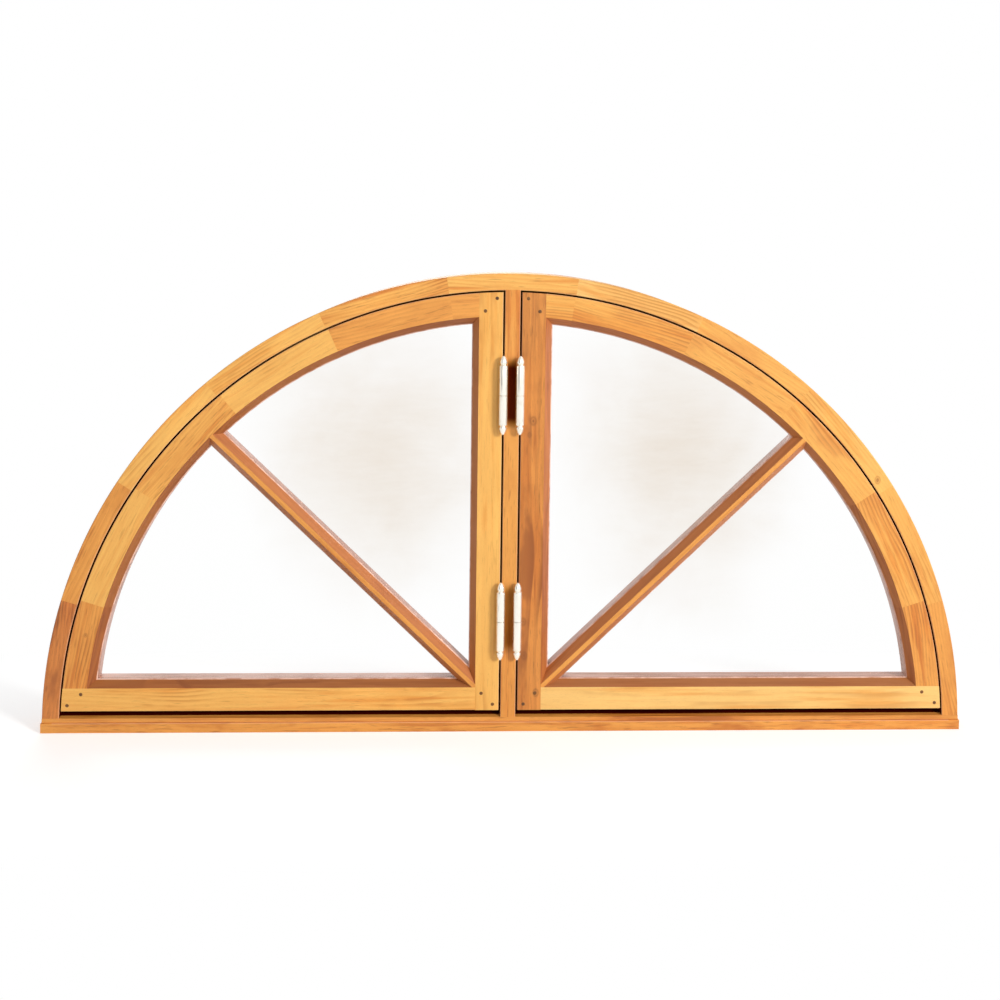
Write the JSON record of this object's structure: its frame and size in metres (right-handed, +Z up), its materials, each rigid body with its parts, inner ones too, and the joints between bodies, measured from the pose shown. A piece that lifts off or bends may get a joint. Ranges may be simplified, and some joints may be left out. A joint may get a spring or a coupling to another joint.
{
  "type": "arched window",
  "caption": "Half-round timber window: an arched outer frame with a mullion, and paired glazed quarter-round sashes with diagonal glazing bars on barrel hinges.",
  "frame": {"origin": "middle of the window on the underside of the sill board, midway through the frame's depth", "axes": "+X to the right seen from the front, -Y out of the front face, +Z up"},
  "size_m": [1.527, 0.0945, 0.762],
  "materials": {
    "frame_timber": "clear oiled",
    "sash_timber": "clear oiled",
    "bead_timber": "clear oiled",
    "peg_timber": "clear oiled",
    "glass": "clear float",
    "hinge_metal": "bright nickel"
  },
  "bodies": {
    "root": {"sill_board": "frame_timber", "frame_bottom_rail": "frame_timber", "mullion": "frame_timber", "frame_arch_key": "frame_timber", "frame_arch_left_foot": "frame_timber", "frame_arch_left_haunch": "frame_timber", "frame_arch_left_shoulder": "frame_timber", "frame_arch_left_neck": "frame_timber", "frame_arch_left_crown": "frame_timber", "frame_arch_right_foot": "frame_timber", "frame_arch_right_haunch": "frame_timber", "frame_arch_right_shoulder": "frame_timber", "frame_arch_right_neck": "frame_timber", "frame_arch_right_crown": "frame_timber", "left_sash_stile": "sash_timber", "left_sash_bottom_rail": "sash_timber", "left_sash_arch_foot": "sash_timber", "left_sash_arch_haunch": "sash_timber", "left_sash_arch_shoulder": "sash_timber", "left_sash_arch_neck": "sash_timber", "left_sash_arch_crown": "sash_timber", "left_sash_arch_head": "sash_timber", "left_sash_glazing_bar": "sash_timber", "left_sash_straight_beads": "bead_timber", "left_sash_bar_beads": "bead_timber", "left_sash_arch_beads": "bead_timber", "left_sash_upper_pane": "glass", "left_sash_lower_pane": "glass", "left_sash_pegs": "peg_timber", "left_lower_hinge_sash_half": "hinge_metal", "left_lower_hinge_frame_half": "hinge_metal", "left_upper_hinge_sash_half": "hinge_metal", "left_upper_hinge_frame_half": "hinge_metal", "right_sash_stile": "sash_timber", "right_sash_bottom_rail": "sash_timber", "right_sash_arch_foot": "sash_timber", "right_sash_arch_haunch": "sash_timber", "right_sash_arch_shoulder": "sash_timber", "right_sash_arch_neck": "sash_timber", "right_sash_arch_crown": "sash_timber", "right_sash_arch_head": "sash_timber", "right_sash_glazing_bar": "sash_timber", "right_sash_straight_beads": "bead_timber", "right_sash_bar_beads": "bead_timber", "right_sash_arch_beads": "bead_timber", "right_sash_upper_pane": "glass", "right_sash_lower_pane": "glass", "right_sash_pegs": "peg_timber", "right_lower_hinge_sash_half": "hinge_metal", "right_lower_hinge_frame_half": "hinge_metal", "right_upper_hinge_sash_half": "hinge_metal", "right_upper_hinge_frame_half": "hinge_metal"}
  },
  "joints": []
}
